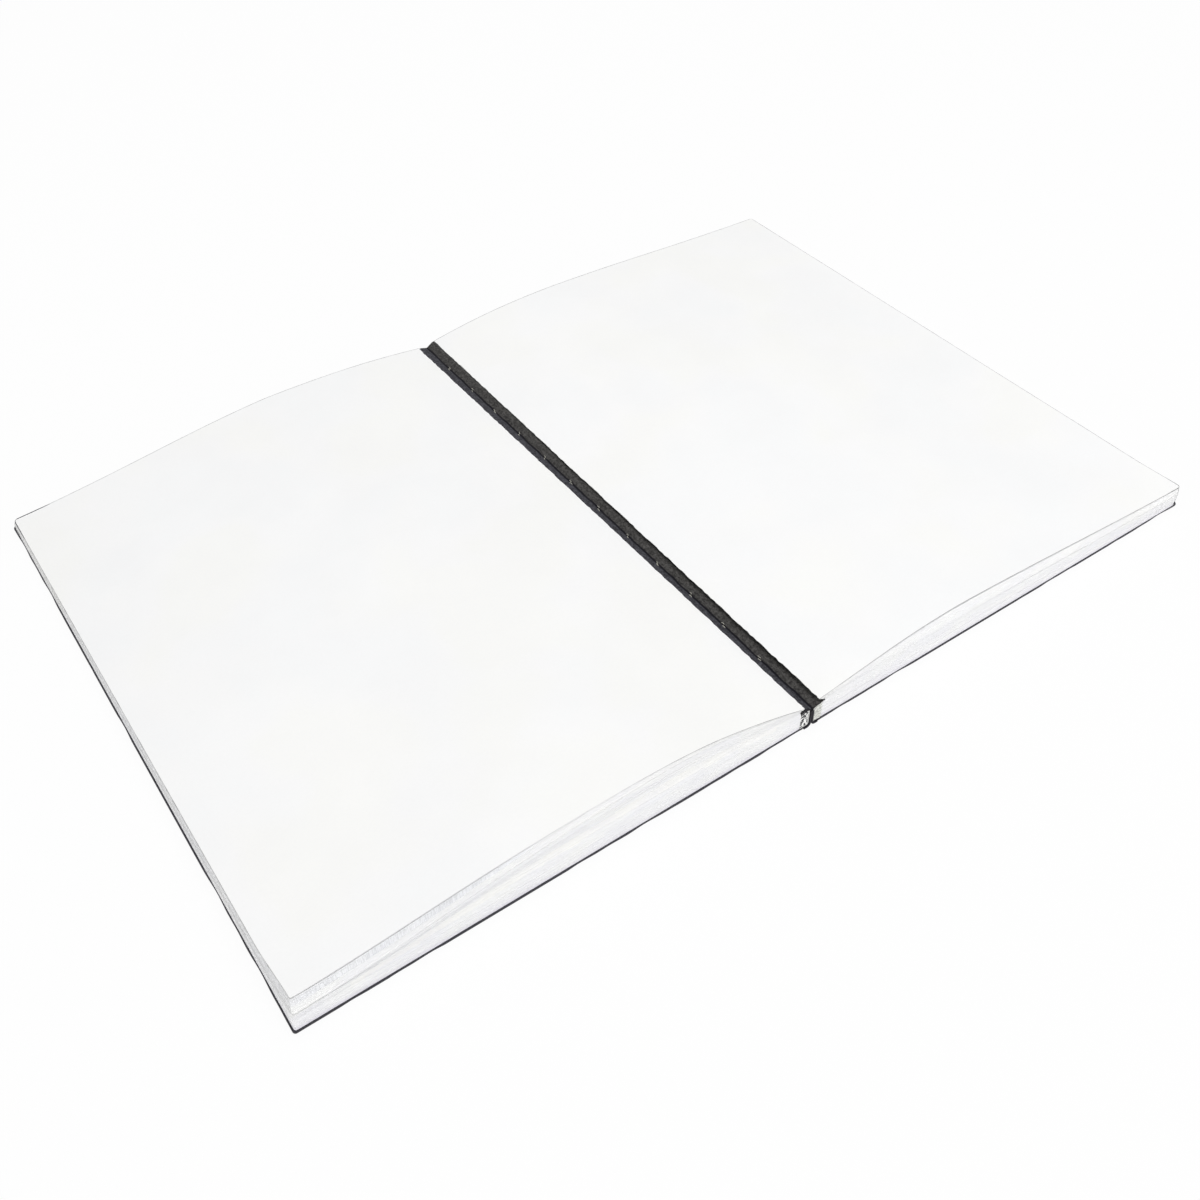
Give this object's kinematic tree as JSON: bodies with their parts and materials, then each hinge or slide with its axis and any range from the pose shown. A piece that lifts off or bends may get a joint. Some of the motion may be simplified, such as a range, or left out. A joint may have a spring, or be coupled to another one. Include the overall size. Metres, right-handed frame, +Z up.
{
  "type": "opened sketchbook",
  "caption": "Sketchbook lying open: white leaves on thin black covers, a black tape in the gutter and a spine cloth folded up between the halves.",
  "frame": {"origin": "on the table, under the middle of the gutter, halfway between head and foot", "axes": "+X across the right-hand leaves to their fore edge, +Y to the head of the book, +Z up"},
  "size_m": [0.4312, 0.2982, 0.0262],
  "materials": {
    "cover": "black imitation leather",
    "page": "matt uncoated white drawing paper",
    "page_edge": "cut edges of drawing paper",
    "endpaper": "matt white",
    "lining": "matt off-white binding paper",
    "tape": "black book cloth",
    "spine": "black book cloth",
    "thread": "waxed linen thread"
  },
  "bodies": {
    "right_half": {"right_pages": "page_edge", "right_leaves": "page", "right_lining": "lining", "gutter_tape": "tape", "spine_cloth": "spine", "sewing_thread": "thread"},
    "left_half": {"left_pages": "page_edge", "left_leaves": "page", "left_lining": "lining"},
    "left_cover": {"left_cover": "cover", "left_endpaper": "endpaper"},
    "right_cover": {"right_cover": "cover", "right_endpaper": "endpaper"}
  },
  "joints": [
    {"name": "book_closing", "type": "hinge", "parent": "right_half", "child": "left_half", "pos_m": [0, 0, 0.0112], "axis": [0, 1, 0], "range_deg": [0, 180], "deforming": ["left_leaves", "right_leaves", "gutter_tape", "spine_cloth"]},
    {"name": "left_cover_opening", "type": "hinge", "parent": "left_half", "child": "left_cover", "pos_m": [-0.0035, 0, 0.00125], "axis": [0, -1, 0], "range_deg": [0, 90]},
    {"name": "right_cover_opening", "type": "hinge", "parent": "right_half", "child": "right_cover", "pos_m": [0.0035, 0, 0.00125], "axis": [0, 1, 0], "range_deg": [0, 90]}
  ]
}
